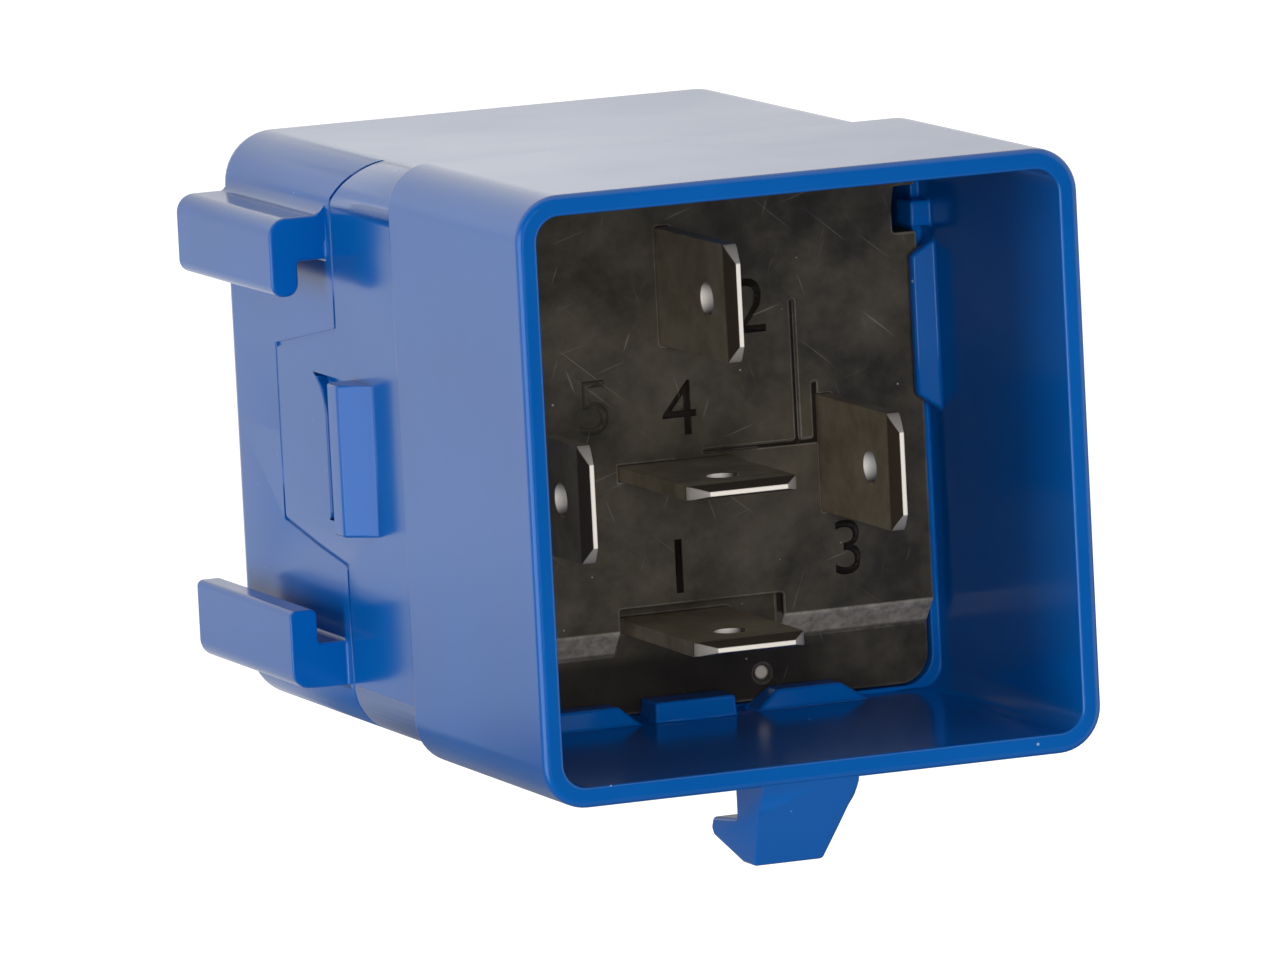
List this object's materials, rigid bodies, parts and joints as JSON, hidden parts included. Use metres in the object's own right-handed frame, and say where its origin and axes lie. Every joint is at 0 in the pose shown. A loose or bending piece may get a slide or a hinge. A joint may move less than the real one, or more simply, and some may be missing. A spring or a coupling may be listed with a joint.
{
  "type": "automotive relay",
  "caption": "Skirted plug-in automotive changeover relay with blade terminals, side mounting rails, a latch, a snap hook and a working armature inside.",
  "frame": {"origin": "middle of the closed end's outer face, on which the relay stands", "axes": "+Z from the closed end to the open, skirted end with the blades; +X away from the side with the rails and the latch; +Y away from the side with the snap hook"},
  "size_m": [0.0343, 0.0364, 0.0465],
  "materials": {
    "blue_housing": "moulded blue polyester, semi-gloss",
    "black_base": "moulded black-brown plastic, matte and lightly scratched",
    "tinned_blade": "stamped brass strip, dull tin plate",
    "plated_iron": "soft iron, zinc plated",
    "bobbin_nylon": "moulded natural nylon",
    "enamelled_wire": "enamelled copper wire",
    "resistor_body": "lacquered ceramic",
    "spring_bronze": "rolled bronze strip",
    "contact_silver": "silver contact alloy",
    "copper_braid": "bare copper braid"
  },
  "bodies": {
    "frame": {"housing": "blue_housing", "base": "black_base", "common_terminal": "tinned_blade", "left_coil_terminal": "tinned_blade", "right_coil_terminal": "tinned_blade", "normally_closed_terminal": "tinned_blade", "normally_open_terminal": "tinned_blade", "yoke": "plated_iron", "core": "plated_iron", "bobbin": "bobbin_nylon", "coil_winding": "enamelled_wire", "left_coil_lead": "enamelled_wire", "right_coil_lead": "enamelled_wire", "resistor": "resistor_body", "resistor_leads": "plated_iron", "return_spring": "spring_bronze", "return_spring_rivets": "contact_silver", "braid": "copper_braid", "normally_open_contact": "contact_silver", "normally_closed_contact": "contact_silver"},
    "armature": {"armature": "plated_iron", "contact_spring": "spring_bronze", "spring_rivets": "spring_bronze", "moving_contact": "contact_silver"}
  },
  "joints": [
    {"name": "armature_swing", "type": "hinge", "parent": "frame", "child": "armature", "pos_m": [-0.0005, 0.0128, 0.0075], "axis": [-1, 0, 0], "range_deg": [0, 3], "stiffness_Nm_per_rad": 0.1, "springref_deg": -5.73}
  ]
}
